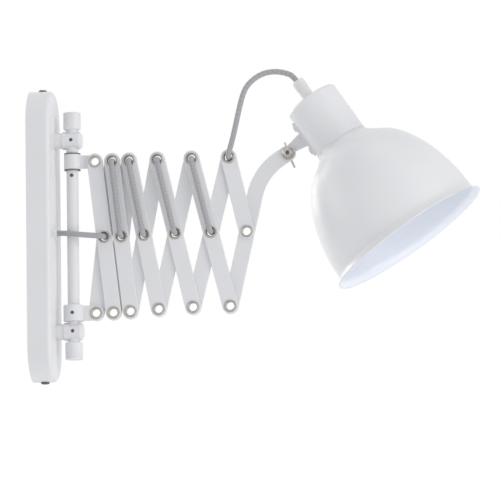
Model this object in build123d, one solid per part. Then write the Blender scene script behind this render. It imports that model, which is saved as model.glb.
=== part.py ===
from build123d import *
import os
from math import atan2, cos, degrees, hypot, radians, sin, tan

# Wall spotlight with a scissor arm. The wall is the plane X = 0, +X points into the room and +Z up.
# The origin is the middle of the plate's back. The arm works in the plane Y = 0, seen from -Y.

# Wall plate
PLATE_HEIGHT = 318.0
PLATE_WIDTH = 77.0
PLATE_DEPTH = 26.0
PLATE_WALL = 1.5
PLATE_EDGE_ROUND = 5.0
COVER_SCREW_RADIUS = 2.0
COVER_SCREW_HEAD_RADIUS = 4.7
COVER_SCREW_HEAD_HEIGHT = 2.0
COVER_SCREW_HEAD_ROUND = 1.4
CROSS_RECESS_LENGTH = 5.0
CROSS_RECESS_WIDTH = 1.0
CROSS_RECESS_DEPTH = 1.2
COVER_SCREW_LENGTH = 9.0

# Strap that is screwed to the wall inside the plate
STRAP_WIDTH = 40.0
STRAP_THICKNESS = 2.0
STRAP_END_ROOM = 14.0
EAR_WIDTH = 12.0
EAR_CLEARANCE = 1.0
WALL_HOLE_RADIUS = 2.75
WALL_HOLE_SPACING = 130.0
CABLE_ENTRY_RADIUS = 10.0

# Terminal block on the strap
TERMINAL_DEPTH = 15.0
TERMINAL_WIDTH = 30.0
TERMINAL_HEIGHT = 18.0
TERMINAL_CENTRE_Z = -36.0
TERMINAL_PITCH = 9.0
TERMINAL_SCREW_RADIUS = 1.9
TERMINAL_SCREW_LENGTH = 6.0
TERMINAL_WIRE_RADIUS = 1.7
TERMINAL_WIRE_DEPTH = 9.0
TERMINAL_SLOT_WIDTH = 0.6

# Guide rod, its brackets and caps
ROD_RADIUS = 6.5
ROD_STANDOFF = 19.1
BRACKET_POST_RADIUS = 8.6
BRACKET_POST_LENGTH = 8.0
BRACKET_KNUCKLE_RADIUS = 9.75
BRACKET_END_MARGIN = 10.9
BRACKET_END_ROUND = 4.0
BRACKET_BOLT_RADIUS = 3.0
BRACKET_BOLT_DEPTH = 8.0
BRACKET_BOLT_HEAD_RADIUS = 5.0
BRACKET_BOLT_HEAD_HEIGHT = 4.0
BOLT_FLANGE_RADIUS = 6.0
BOLT_FLANGE_THICKNESS = 1.0
GRUB_RADIUS = 2.0
GRUB_SOCKET_RADIUS = 1.0
GRUB_SOCKET_DEPTH = 1.6
GRUB_SINK = 0.4
CAP_RADIUS = 9.5
CAP_HEIGHT = 19.0
CAP_LOWER_ROUND = 1.6
CAP_UPPER_ROUND = 0.8
CAP_GROOVE_DROPS = (2.5, 6.4)
CAP_GROOVE_WIDTH = 0.7
CAP_GROOVE_DEPTH = 0.35
CAP_NECK = 1.9
SPIGOT_RADIUS = 4.0
SPIGOT_LENGTH = 11.0

# Sleeves on the rod
UPPER_SLEEVE_RADIUS = 9.1
UPPER_SLEEVE_HEIGHT = 16.6
UPPER_TAB_HEIGHT = 14.4
LOWER_SLEEVE_RADIUS = 11.2
LOWER_SLEEVE_HEIGHT = 17.6
LOWER_SLEEVE_RISE = 0.4
LOWER_TAB_HEIGHT = 16.4
SLEEVE_CHAMFER = 0.6
SNAP_RING_RADIUS = 8.9
SNAP_RING_THICKNESS = 1.0
SNAP_RING_GROOVE = 0.6
SNAP_RING_OPENING = 3.2
STOP_SCREW_DROP = 15.0
STOP_SCREW_TIP = 1.0

# Scissor arm
LINK_LENGTH = 167.0
LINK_WIDTH = 17.3
LINK_THICKNESS = 3.0
LINK_EDGE_ROUND = 0.7
LAYER_GAP = 0.15
FIRST_PIVOT_OFFSET = 25.0
FIRST_PIVOT_DROP = 23.5
ROD_SPARE = 42.0
REST_ANGLES = (6.5, 6.4, 10.7, 13.0, 14.1, 13.1)

# Eyelets
EYELET_BORE_RADIUS = 4.4
EYELET_BARREL_RADIUS = 5.0
EYELET_FLANGE_RADIUS = 6.9
EYELET_FLANGE_THICKNESS = 0.8
EYELET_EDGE_ROUND = 0.5

# Curved arm that carries the head
ARM_STRAIGHT = 41.0
ARM_BEND_RADIUS = 62.0
ARM_BEND_ANGLE = 45.0
ARM_TIP = 10.5

# Head
HEAD_TILT = 34.5
PIVOT_FROM_CUP = 23.9
PIVOT_BELOW_TOP = 33.5
CUP_RADIUS = 30.0
CUP_LENGTH = 58.0
CUP_WALL = 1.2
CUP_TOP_ROUND = 4.0
SHADE_WALL = 1.0
SHADE_FLANGE_OVERHANG = 0.3
SHADE_NECK_HEIGHT = 3.4
SHADE_SKIRT_RADIUS = 86.9
SHADE_DEPTH = 120.0
SHADE_LIP_RADIUS = 9.07
SHADE_LIP_TURN = 69.5

# Lamp holder inside the cup
HOLDER_RADIUS = 20.0
HOLDER_SHOULDER_CLEARANCE = 3.2
HOLDER_SHOULDER_HEIGHT = 5.5
HOLDER_SKIRT = 12.0
HOLDER_BORE_RADIUS = 13.9
HOLDER_BORE_DEPTH = 30.0
HOLDER_TOP_ROUND = 5.0
SHELL_WALL = 0.7
SHELL_LENGTH = 22.0
SHELL_INSET = 2.0
CONTACT_RADIUS = 4.0
CONTACT_HEIGHT = 2.0
SHADE_RING_RADIUS = 26.0
SHADE_RING_HEIGHT = 6.0
SHADE_RING_FLUTES = 24
FLUTE_RADIUS = 1.5
FLUTE_DEPTH = 0.6

# Cable gland on top of the cup
GLAND_THREAD_RADIUS = 5.0
GLAND_THREAD_LENGTH = 9.0
GLAND_HEX_ACROSS = 15.0
GLAND_HEX_HEIGHT = 4.0
GLAND_BODY_RADIUS = 6.6
GLAND_BODY_HEIGHT = 10.0
GLAND_NUT_RADIUS = 7.0
GLAND_NUT_HEIGHT = 11.0
GLAND_LEAD = 6.0
GLAND_NUT_ROUNDS = (0.5, 1.8, 0.9)

# Bracket between the cup and the arm
FOOT_LENGTH = 43.0
FOOT_ABOVE_PIVOT = 1.8
FOOT_THICKNESS = 1.9
FOOT_WIDTH = 13.0
FOOT_CORNER_ROUND = 4.0
FOOT_SCREW_SPACING = 30.6
FOOT_SCREW_RADIUS = 2.0
FOOT_SCREW_HEAD_RADIUS = 3.8
FOOT_SCREW_HEAD_HEIGHT = 2.0
FOOT_SCREW_HEAD_ROUND = 1.4
FOOT_NUT_ACROSS = 7.0
FOOT_NUT_HEIGHT = 2.8
TAB_THICKNESS = 3.0
TAB_ROOT_WIDTH = 16.5
TAB_ABOVE_PIVOT = 2.8
TAB_END_WIDTH = 7.8
TAB_END_RADIUS = 6.6
PIVOT_RADIUS = 3.0
PIVOT_HEAD_RADIUS = 6.2
PIVOT_HEAD_HEIGHT = 3.4
PIVOT_HEAD_ROUND = 2.4
PIVOT_SOCKET_ACROSS = 4.0
PIVOT_SOCKET_DEPTH = 2.2
WASHER_RADIUS = 7.0
WASHER_THICKNESS = 1.0
WING_HUB_RADIUS = 5.4
WING_HUB_HEIGHT = 6.0
WING_SPAN_RADIUS = 14.5
WING_THICKNESS = 1.8
WING_RISE = 5.0
WING_ANGLE = 21.0

# Cable and grommet
CABLE_RADIUS = 3.0
CABLE_EXIT_Z = 3.6
GROMMET_FLANGE_RADIUS = 7.5
GROMMET_STEM_RADIUS = 5.5
GROMMET_STAND = 2.0
GROMMET_INSIDE = 3.0
GROMMET_CLIP = 1.0
GROMMET_OUTER_ROUND = 1.4
GROMMET_MOUTH_ROUND = 1.2
WEAVE_STAND = 5.0
WEAVE_SLACK = 0.05

# Clearances
RUN_CLEARANCE = 0.1
SLIDE_CLEARANCE = 0.15
FLANGE_CLEARANCE = 0.1
CLAMP_CLEARANCE = 0.05
OPEN_PIVOT_CLEARANCE = 0.65
HOLE_CLEARANCE = 0.2
DRAG_CLEARANCE = 0.3
CABLE_CLEARANCE = 0.2

# Places that follow from the sizes
ROD_X = PLATE_DEPTH + ROD_STANDOFF
FRONT_FACE = -(LAYER_GAP + LINK_THICKNESS)
REAR_FACE = LAYER_GAP + LINK_THICKNESS
HALF_LINK = LINK_LENGTH / 2
WEAVE_OFFSET = LAYER_GAP + LINK_THICKNESS + EYELET_FLANGE_THICKNESS + WEAVE_STAND
WEAVE_RADIUS = WEAVE_OFFSET - WEAVE_SLACK
SIDES = (1, -1)
STRAP_STRAIGHT = PLATE_HEIGHT - 2 * STRAP_END_ROOM
EAR_DEPTH = PLATE_DEPTH - PLATE_EDGE_ROUND - EAR_CLEARANCE
BRACKET_Z = (LINK_LENGTH + ROD_SPARE) / 2
FIRST_PIVOT_Z = BRACKET_Z - FIRST_PIVOT_DROP
CAP_SEAT_Z = BRACKET_Z + BRACKET_KNUCKLE_RADIUS + CAP_NECK
PIVOT_TO_AXIS = CUP_RADIUS + PIVOT_FROM_CUP
FOOT_Z = FOOT_ABOVE_PIVOT - PIVOT_BELOW_TOP
TAB_Z = TAB_ABOVE_PIVOT - PIVOT_BELOW_TOP
SHADE_FLANGE_RADIUS = CUP_RADIUS + SHADE_FLANGE_OVERHANG
HOLDER_SHOULDER_RADIUS = CUP_RADIUS - CUP_WALL - HOLDER_SHOULDER_CLEARANCE


# Arm layout: the pivots of every cell at rest

def arm_pivots():
    """Top, middle and bottom pivots of the six cells at rest, as X and Z pairs."""
    top, middle, bottom = [], [], []
    x = ROD_X + FIRST_PIVOT_OFFSET
    z = FIRST_PIVOT_Z
    low_z = z - LINK_LENGTH * cos(radians(REST_ANGLES[0]))
    for angle in REST_ANGLES:
        reach = HALF_LINK * sin(radians(angle))
        rise = HALF_LINK * cos(radians(angle))
        top.append((x, z))
        middle.append((x + reach, z - rise))
        if not bottom:
            bottom.append((x, low_z))
        else:
            # Neighbouring cells stand at different angles, so their link ends miss each other by a
            # little. The eyelet that they share sits half way.
            ends = (last_z, z - 2 * rise)
            bottom.append((x, sum(ends) / 2))
        last_z = z - 2 * rise
        x += 2 * reach
    return top, middle, bottom


TOP, MIDDLE, BOTTOM = arm_pivots()


# Basic shapes

def rod_x(y, z, radius, x_low, x_high):
    """Cylinder along X."""
    return Pos((x_low + x_high) / 2, y, z) * Rot(0, 90, 0) * Cylinder(radius, x_high - x_low)


def rod_y(x, z, radius, y_low, y_high):
    """Cylinder along Y."""
    return Pos(x, (y_low + y_high) / 2, z) * Rot(90, 0, 0) * Cylinder(radius, y_high - y_low)


def rod_z(x, y, radius, z_low, z_high):
    """Cylinder along Z."""
    return Pos(x, y, (z_low + z_high) / 2) * Cylinder(radius, z_high - z_low)


def block(x_low, x_high, y_low, y_high, z_low, z_high):
    """Box between two corners."""
    centre = Pos((x_low + x_high) / 2, (y_low + y_high) / 2, (z_low + z_high) / 2)
    return centre * Box(x_high - x_low, y_high - y_low, z_high - z_low)


def turned_about_z(outline, rounds=()):
    """Solid of revolution about Z from an outline of radius and height pairs."""
    face = Plane.XZ * make_face(Polyline(*outline, close=True))
    corners = face.vertices()
    for index, radius in rounds:
        r, z = outline[index]
        corner = corners.sort_by_distance(Vector(r, 0, z))[0]
        face = fillet(corner, radius)
        corners = face.vertices()
    return revolve(face, Axis.Z)


def write(name, *solids):
    """Write one named piece, or one group of like pieces, to its own file."""
    export_step(Compound(children=[solid for shape in solids for solid in shape.solids()]),
                f"parts/{name}.step")
    print(name, round(sum(solid.volume for shape in solids for solid in shape.solids())))


# Wall plate, its strap and the terminals

def plate_outline(inset):
    """The plate's stadium in the wall plane, made smaller all round by an inset."""
    radius = PLATE_WIDTH / 2 - inset
    straight = PLATE_HEIGHT - PLATE_WIDTH
    return Plane.YZ * Rot(0, 0, 90) * SlotCenterToCenter(straight, 2 * radius)


def plate_cover():
    """Pressed steel cover, open at the wall."""
    shell = extrude(plate_outline(0), PLATE_DEPTH)
    shell = fillet(shell.faces().sort_by(Axis.X)[-1].edges(), PLATE_EDGE_ROUND)
    inside = extrude(plate_outline(PLATE_WALL), PLATE_DEPTH - PLATE_WALL)
    inner_round = PLATE_EDGE_ROUND - PLATE_WALL
    inside = fillet(inside.faces().sort_by(Axis.X)[-1].edges(), inner_round)
    shell -= inside
    shell -= rod_x(0, CABLE_EXIT_Z, GROMMET_STEM_RADIUS, 0, PLATE_DEPTH + 1)
    for side in SIDES:
        shell -= rod_x(0, side * BRACKET_Z, BRACKET_BOLT_RADIUS + HOLE_CLEARANCE, 0, PLATE_DEPTH + 1)
        ends = sorted((side * PLATE_HEIGHT / 2 - side * 5, side * PLATE_HEIGHT / 2 + side * 5))
        shell -= rod_z(PLATE_DEPTH / 2, 0, COVER_SCREW_RADIUS + HOLE_CLEARANCE, *ends)
    return shell


def ear_face_z():
    """Height at which a flat ear meets the cover's round end from inside."""
    radius = PLATE_WIDTH / 2 - PLATE_WALL
    return PLATE_HEIGHT / 2 - PLATE_WIDTH / 2 + (radius**2 - (EAR_WIDTH / 2) ** 2) ** 0.5 - CLAMP_CLEARANCE


def wall_bracket():
    """Steel strap with an ear bent out at each end for the cover screws."""
    strap = block(0, STRAP_THICKNESS, -STRAP_WIDTH / 2, STRAP_WIDTH / 2,
                  -STRAP_STRAIGHT / 2, STRAP_STRAIGHT / 2)
    tip = ear_face_z()
    for side in SIDES:
        low, high = sorted((side * (STRAP_STRAIGHT / 2 - 1), side * tip))
        strap += block(0, STRAP_THICKNESS, -EAR_WIDTH / 2, EAR_WIDTH / 2, low, high)
        low, high = sorted((side * (tip - STRAP_THICKNESS), side * tip))
        strap += block(0, EAR_DEPTH, -EAR_WIDTH / 2, EAR_WIDTH / 2, low, high)
    for side in SIDES:
        low, high = sorted((side * (tip - 3), side * (tip + 1)))
        strap -= rod_z(PLATE_DEPTH / 2, 0, COVER_SCREW_RADIUS, low, high)
        strap -= rod_x(0, side * WALL_HOLE_SPACING / 2, WALL_HOLE_RADIUS, -1, STRAP_THICKNESS + 1)
    strap -= rod_x(0, 0, CABLE_ENTRY_RADIUS, -1, STRAP_THICKNESS + 1)
    return strap


def cover_screws():
    """Two pan head screws with a cross recess, one in each end of the plate."""
    screws = []
    for side in SIDES:
        head = turned_about_z([(0, 0), (COVER_SCREW_HEAD_RADIUS, 0),
                               (COVER_SCREW_HEAD_RADIUS, COVER_SCREW_HEAD_HEIGHT),
                               (0, COVER_SCREW_HEAD_HEIGHT)], [(2, COVER_SCREW_HEAD_ROUND)])
        head += rod_z(0, 0, COVER_SCREW_RADIUS, -COVER_SCREW_LENGTH, 0.5)
        for turn in (0, 90):
            slot = Box(CROSS_RECESS_LENGTH, CROSS_RECESS_WIDTH, 2 * CROSS_RECESS_DEPTH)
            head -= Pos(0, 0, COVER_SCREW_HEAD_HEIGHT) * Rot(0, 0, turn) * slot
        turn_over = Rot(0 if side > 0 else 180, 0, 0)
        screws.append(Pos(PLATE_DEPTH / 2, 0, side * PLATE_HEIGHT / 2) * turn_over * head)
    return screws


def terminal_block():
    """Moulded block with a wire way and a screw well for each of three poles."""
    x_face = STRAP_THICKNESS + TERMINAL_DEPTH
    body = block(STRAP_THICKNESS, x_face, -TERMINAL_WIDTH / 2, TERMINAL_WIDTH / 2,
                 TERMINAL_CENTRE_Z - TERMINAL_HEIGHT / 2, TERMINAL_CENTRE_Z + TERMINAL_HEIGHT / 2)
    for pole in (-1, 0, 1):
        y = pole * TERMINAL_PITCH
        body -= rod_z(x_face - TERMINAL_WIRE_DEPTH, y, TERMINAL_WIRE_RADIUS,
                      TERMINAL_CENTRE_Z - TERMINAL_HEIGHT, TERMINAL_CENTRE_Z + TERMINAL_HEIGHT)
        body -= rod_x(y, TERMINAL_CENTRE_Z, TERMINAL_SCREW_RADIUS,
                      x_face - TERMINAL_SCREW_LENGTH - 1, x_face + 1)
    return body


def terminal_screws():
    """One small clamp screw for each pole."""
    x_face = STRAP_THICKNESS + TERMINAL_DEPTH
    screws = []
    for pole in (-1, 0, 1):
        y = pole * TERMINAL_PITCH
        screw = rod_x(y, TERMINAL_CENTRE_Z, TERMINAL_SCREW_RADIUS,
                      x_face - TERMINAL_SCREW_LENGTH - 1, x_face - 1)
        screw -= block(x_face - 2, x_face, y - 2, y + 2, TERMINAL_CENTRE_Z - TERMINAL_SLOT_WIDTH / 2,
                       TERMINAL_CENTRE_Z + TERMINAL_SLOT_WIDTH / 2)
        screws.append(screw)
    return screws


def cord_grommet():
    """Bushing in the plate's face, clipped behind it, with a rounded mouth."""
    face = PLATE_DEPTH
    inner = PLATE_DEPTH - PLATE_WALL
    bore = CABLE_RADIUS + CABLE_CLEARANCE
    clip = GROMMET_STEM_RADIUS + GROMMET_CLIP
    outline = [(bore, inner - GROMMET_INSIDE), (clip, inner - GROMMET_INSIDE),
               (clip, inner), (GROMMET_STEM_RADIUS, inner),
               (GROMMET_STEM_RADIUS, face), (GROMMET_FLANGE_RADIUS, face),
               (GROMMET_FLANGE_RADIUS, face + GROMMET_STAND), (bore, face + GROMMET_STAND)]
    bush = turned_about_z(outline, [(6, GROMMET_OUTER_ROUND), (7, GROMMET_MOUTH_ROUND)])
    return Pos(0, 0, CABLE_EXIT_Z) * Rot(0, 90, 0) * bush


# Guide rod, brackets and caps

def rod_bracket(side):
    """Turned bracket: a round post on the plate and a knuckle bored for the rod."""
    step = PLATE_DEPTH + BRACKET_POST_LENGTH
    end = ROD_X + BRACKET_END_MARGIN
    taper = BRACKET_KNUCKLE_RADIUS - BRACKET_POST_RADIUS
    outline = [(0, PLATE_DEPTH), (BRACKET_POST_RADIUS, PLATE_DEPTH), (BRACKET_POST_RADIUS, step),
               (BRACKET_KNUCKLE_RADIUS, step + taper), (BRACKET_KNUCKLE_RADIUS, end), (0, end)]
    body = Rot(0, 90, 0) * turned_about_z(outline, [(4, BRACKET_END_ROUND)])
    body = Pos(0, 0, side * BRACKET_Z) * body
    low = side * BRACKET_Z - BRACKET_KNUCKLE_RADIUS - 1
    high = side * BRACKET_Z + BRACKET_KNUCKLE_RADIUS + 1
    body -= rod_z(ROD_X, 0, ROD_RADIUS + CLAMP_CLEARANCE, low, high)
    body -= rod_y(ROD_X, side * BRACKET_Z, GRUB_RADIUS, -BRACKET_KNUCKLE_RADIUS - 1, 0)
    body -= rod_x(0, side * BRACKET_Z, BRACKET_BOLT_RADIUS, PLATE_DEPTH - 1,
                  PLATE_DEPTH + BRACKET_BOLT_DEPTH + 1)
    return body


def bracket_bolt(side):
    """Hexagon bolt with a washer face, put in from behind the plate's front wall."""
    seat = PLATE_DEPTH - PLATE_WALL
    bolt = rod_x(0, side * BRACKET_Z, BRACKET_BOLT_RADIUS, seat - 0.5, PLATE_DEPTH + BRACKET_BOLT_DEPTH)
    bolt += rod_x(0, side * BRACKET_Z, BOLT_FLANGE_RADIUS, seat - BOLT_FLANGE_THICKNESS, seat)
    head = extrude(RegularPolygon(BRACKET_BOLT_HEAD_RADIUS, 6, major_radius=False),
                   BRACKET_BOLT_HEAD_HEIGHT)
    place = Pos(seat - BOLT_FLANGE_THICKNESS - BRACKET_BOLT_HEAD_HEIGHT, 0, side * BRACKET_Z) * Rot(0, 90, 0)
    return bolt + place * head


def grub_screw(y_tip, y_outer, z):
    """Socket grub screw along Y, tip towards the rod."""
    screw = rod_y(ROD_X, z, GRUB_RADIUS, y_outer, y_tip)
    socket = extrude(RegularPolygon(GRUB_SOCKET_RADIUS, 6, major_radius=False), GRUB_SOCKET_DEPTH)
    return screw - Pos(ROD_X, y_outer + GRUB_SOCKET_DEPTH, z) * Rot(90, 0, 0) * socket


def rod_grub_screws():
    """The two bracket screws and the screw in the rod under the upper sleeve."""
    screws = []
    for side in SIDES:
        outer = -BRACKET_KNUCKLE_RADIUS + GRUB_SINK
        screws.append(grub_screw(-ROD_RADIUS - CLAMP_CLEARANCE, outer, side * BRACKET_Z))
    screws.append(grub_screw(-STOP_SCREW_TIP, -ROD_RADIUS - 0.1, FIRST_PIVOT_Z - STOP_SCREW_DROP))
    return screws


def sleeve_ring_heights():
    """Heights of the two snap rings, just above and just below the upper sleeve."""
    half = UPPER_SLEEVE_HEIGHT / 2 + FLANGE_CLEARANCE
    return (FIRST_PIVOT_Z + half, FIRST_PIVOT_Z - half - SNAP_RING_THICKNESS)


def guide_rod():
    """Rod with a spigot at each end, two ring grooves and a tapped hole."""
    rod = rod_z(ROD_X, 0, ROD_RADIUS, -CAP_SEAT_Z, CAP_SEAT_Z)
    rod += rod_z(ROD_X, 0, SPIGOT_RADIUS, -CAP_SEAT_Z - SPIGOT_LENGTH, CAP_SEAT_Z + SPIGOT_LENGTH)
    for z in sleeve_ring_heights():
        ring = Cylinder(ROD_RADIUS + 1, SNAP_RING_THICKNESS)
        ring -= Cylinder(ROD_RADIUS - SNAP_RING_GROOVE, SNAP_RING_THICKNESS + 1)
        rod -= Pos(ROD_X, 0, z + SNAP_RING_THICKNESS / 2) * ring
    rod -= rod_y(ROD_X, FIRST_PIVOT_Z - STOP_SCREW_DROP, GRUB_RADIUS, -ROD_RADIUS - 1, -STOP_SCREW_TIP)
    return rod


def rod_cap(side):
    """Turned cap with two fine grooves, bored for the rod's spigot."""
    outline = [(0, 0), (CAP_RADIUS, 0), (CAP_RADIUS, CAP_HEIGHT), (0, CAP_HEIGHT)]
    cap = turned_about_z(outline, [(1, CAP_LOWER_ROUND), (2, CAP_UPPER_ROUND)])
    for drop in CAP_GROOVE_DROPS:
        groove = Cylinder(CAP_RADIUS + 1, CAP_GROOVE_WIDTH)
        groove -= Cylinder(CAP_RADIUS - CAP_GROOVE_DEPTH, CAP_GROOVE_WIDTH + 1)
        cap -= Pos(0, 0, CAP_HEIGHT - drop) * groove
    cap -= rod_z(0, 0, SPIGOT_RADIUS, -1, SPIGOT_LENGTH)
    return Pos(ROD_X, 0, side * CAP_SEAT_Z) * Rot(0 if side > 0 else 180, 0, 0) * cap


def snap_rings():
    """Two open spring rings that hold the upper sleeve at its height."""
    rings = []
    for z in sleeve_ring_heights():
        ring = rod_z(ROD_X, 0, SNAP_RING_RADIUS, z, z + SNAP_RING_THICKNESS)
        ring -= rod_z(ROD_X, 0, ROD_RADIUS - SNAP_RING_GROOVE, z - 1, z + SNAP_RING_THICKNESS + 1)
        ring -= block(ROD_X, ROD_X + SNAP_RING_RADIUS + 1, -SNAP_RING_OPENING / 2, SNAP_RING_OPENING / 2,
                      z - 1, z + SNAP_RING_THICKNESS + 1)
        rings.append(ring)
    return rings


# Sleeves

def sleeve(pivot, radius, low, high, bore, tab_height, y_low, y_high):
    """Sleeve on the rod from low to high, with a flat tab that ends round about the pivot."""
    x, z = pivot
    body = chamfer(rod_z(ROD_X, 0, radius, low, high).edges().filter_by(GeomType.CIRCLE), SLEEVE_CHAMFER)
    body += block(ROD_X, x, y_low, y_high, z - tab_height / 2, z + tab_height / 2)
    body += rod_y(x, z, tab_height / 2, y_low, y_high)
    body -= rod_z(ROD_X, 0, bore, low - 1, high + 1)
    return body - rod_y(x, z, EYELET_BARREL_RADIUS + RUN_CLEARANCE, y_low - 1, y_high + 1)


def upper_sleeve():
    """Sleeve that swivels between the snap rings."""
    low = TOP[0][1] - UPPER_SLEEVE_HEIGHT / 2
    high = TOP[0][1] + UPPER_SLEEVE_HEIGHT / 2
    bore = ROD_RADIUS + RUN_CLEARANCE
    return sleeve(TOP[0], UPPER_SLEEVE_RADIUS, low, high, bore, UPPER_TAB_HEIGHT, LAYER_GAP, REAR_FACE)


def lower_sleeve():
    """Sliding sleeve, tapped on the front for its drag screw."""
    middle = BOTTOM[0][1] + LOWER_SLEEVE_RISE
    low = middle - LOWER_SLEEVE_HEIGHT / 2
    high = middle + LOWER_SLEEVE_HEIGHT / 2
    bore = ROD_RADIUS + SLIDE_CLEARANCE
    body = sleeve(BOTTOM[0], LOWER_SLEEVE_RADIUS, low, high, bore, LOWER_TAB_HEIGHT, FRONT_FACE, -LAYER_GAP)
    return body - rod_y(ROD_X, middle, GRUB_RADIUS, -LOWER_SLEEVE_RADIUS - 1, 0)


def drag_screw():
    """Socket grub screw that brakes the lower sleeve on the rod."""
    middle = BOTTOM[0][1] + LOWER_SLEEVE_RISE
    return grub_screw(-ROD_RADIUS - DRAG_CLEARANCE, -LOWER_SLEEVE_RADIUS + GRUB_SINK, middle)


# Links and eyelets

def flat_bar(start, end, y_low, y_high):
    """Flat bar between two points, with round ends and eased edges."""
    run = hypot(end[0] - start[0], end[1] - start[1])
    slope = degrees(atan2(end[1] - start[1], end[0] - start[0]))
    middle = Pos((start[0] + end[0]) / 2, (start[1] + end[1]) / 2)
    outline = Plane.XZ.offset(-y_high) * middle * Rot(0, 0, slope) * SlotCenterToCenter(run, LINK_WIDTH)
    return ease_edges(extrude(outline, y_high - y_low))


def ease_edges(bar):
    """Round the edges of a bar's two flat faces."""
    faces = bar.faces().filter_by(Axis.Y).sort_by(Axis.Y)
    return fillet(faces[0].edges() + faces[-1].edges(), LINK_EDGE_ROUND)


def pierced(bar, holes, y_low, y_high):
    """Cut the eyelet holes: each is a pivot and a radius."""
    for (x, z), radius in holes:
        bar -= rod_y(x, z, radius, y_low - 1, y_high + 1)
    return bar


def front_link(cell):
    """Front layer: top pivot of its cell, middle pivot, and the next cell's bottom pivot."""
    if cell == len(REST_ANGLES) - 1:
        stops = (TOP[cell], MIDDLE[cell])
    else:
        stops = (TOP[cell], MIDDLE[cell], BOTTOM[cell + 1])
    bar = flat_bar(stops[0], stops[-1], FRONT_FACE, -LAYER_GAP)
    return pierced(bar, [(stop, EYELET_BARREL_RADIUS) for stop in stops], FRONT_FACE, -LAYER_GAP)


def rear_holes(cell):
    """Rear layer holes, low to high: the opened pivot at the bottom has room to shift."""
    if cell:
        low = (BOTTOM[cell], EYELET_BARREL_RADIUS + OPEN_PIVOT_CLEARANCE)
    else:
        low = (BOTTOM[0], EYELET_BARREL_RADIUS)
    return [low, (MIDDLE[cell], EYELET_BARREL_RADIUS + RUN_CLEARANCE)]


def rear_link(cell):
    """Rear layer: bottom pivot of its cell, middle pivot, and the next cell's top pivot."""
    bar = flat_bar(BOTTOM[cell], TOP[cell + 1], LAYER_GAP, REAR_FACE)
    holes = rear_holes(cell) + [(TOP[cell + 1], EYELET_BARREL_RADIUS + RUN_CLEARANCE)]
    return pierced(bar, holes, LAYER_GAP, REAR_FACE)


def arm_line():
    """Start and end of the curved arm's bend, the centre of its arc, and the head pivot."""
    lean = radians(REST_ANGLES[-1])
    final = lean + radians(ARM_BEND_ANGLE)
    x, z = MIDDLE[-1]
    begin = (x + ARM_STRAIGHT * sin(lean), z + ARM_STRAIGHT * cos(lean))
    centre = (begin[0] + ARM_BEND_RADIUS * cos(lean), begin[1] - ARM_BEND_RADIUS * sin(lean))
    end = (centre[0] - ARM_BEND_RADIUS * cos(final), centre[1] + ARM_BEND_RADIUS * sin(final))
    pivot = (end[0] + ARM_TIP * sin(final), end[1] + ARM_TIP * cos(final))
    return begin, end, centre, pivot


BEND_START, BEND_END, BEND_CENTRE, HEAD_PIVOT = arm_line()


def curved_arm():
    """Last rear link, longer than the rest and bent over to the head."""
    first = slot_between(BOTTOM[-1], BEND_START)
    last = slot_between(BEND_END, HEAD_PIVOT)
    start_angle = 180 - REST_ANGLES[-1]
    arc = CenterArc(BEND_CENTRE, ARM_BEND_RADIUS, start_angle, -ARM_BEND_ANGLE)
    bend = SlotArc(arc, LINK_WIDTH)
    outline = Plane.XZ.offset(-REAR_FACE) * (first + bend + last)
    bar = ease_edges(extrude(outline, LINK_THICKNESS))
    holes = rear_holes(len(REST_ANGLES) - 1) + [(HEAD_PIVOT, PIVOT_RADIUS)]
    return pierced(bar, holes, LAYER_GAP, REAR_FACE)


def slot_between(start, end):
    """Round-ended outline of a link between two points."""
    run = hypot(end[0] - start[0], end[1] - start[1])
    slope = degrees(atan2(end[1] - start[1], end[0] - start[0]))
    middle = Pos((start[0] + end[0]) / 2, (start[1] + end[1]) / 2)
    return middle * Rot(0, 0, slope) * SlotCenterToCenter(run, LINK_WIDTH)


def eyelet(pivot, seat):
    """Hollow rivet: its seat side is tight on its own link, the other flange runs free."""
    x, z = pivot
    front = FRONT_FACE - (FLANGE_CLEARANCE if seat > 0 else 0)
    rear = REAR_FACE + (FLANGE_CLEARANCE if seat < 0 else 0)
    lip = EYELET_FLANGE_THICKNESS
    outline = [(EYELET_BORE_RADIUS, front - lip), (EYELET_FLANGE_RADIUS, front - lip),
               (EYELET_FLANGE_RADIUS, front), (EYELET_BARREL_RADIUS, front),
               (EYELET_BARREL_RADIUS, rear), (EYELET_FLANGE_RADIUS, rear),
               (EYELET_FLANGE_RADIUS, rear + lip), (EYELET_BORE_RADIUS, rear + lip)]
    rounds = [(corner, EYELET_EDGE_ROUND) for corner in (0, 1, 6, 7)]
    return Pos(x, 0, z) * Rot(-90, 0, 0) * turned_about_z(outline, rounds)


# Head: modelled upright with the middle of the cup's top at the origin, then tilted on the arm

def head_place():
    """Place of the upright head on the arm."""
    on_pivot = Pos(PIVOT_TO_AXIS, 0, PIVOT_BELOW_TOP)
    return Pos(HEAD_PIVOT[0], 0, HEAD_PIVOT[1]) * Rot(0, -HEAD_TILT, 0) * on_pivot


def socket_cup():
    """Spun cup over the lamp holder, bored for the gland and for the bracket screws."""
    cup = rod_z(0, 0, CUP_RADIUS, -CUP_LENGTH, 0)
    cup = fillet(cup.faces().sort_by(Axis.Z)[-1].edges(), CUP_TOP_ROUND)
    inside = rod_z(0, 0, CUP_RADIUS - CUP_WALL, -CUP_LENGTH - 1, -CUP_WALL)
    inside = fillet(inside.faces().sort_by(Axis.Z)[-1].edges(), CUP_TOP_ROUND - CUP_WALL)
    cup -= inside
    cup -= rod_z(0, 0, GLAND_THREAD_RADIUS, -CUP_WALL - 1, 1)
    for side in SIDES:
        z = FOOT_Z + side * FOOT_SCREW_SPACING / 2
        cup -= rod_x(0, z, FOOT_SCREW_RADIUS, -CUP_RADIUS - 1, -CUP_RADIUS + CUP_WALL + 2)
    return cup


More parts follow.
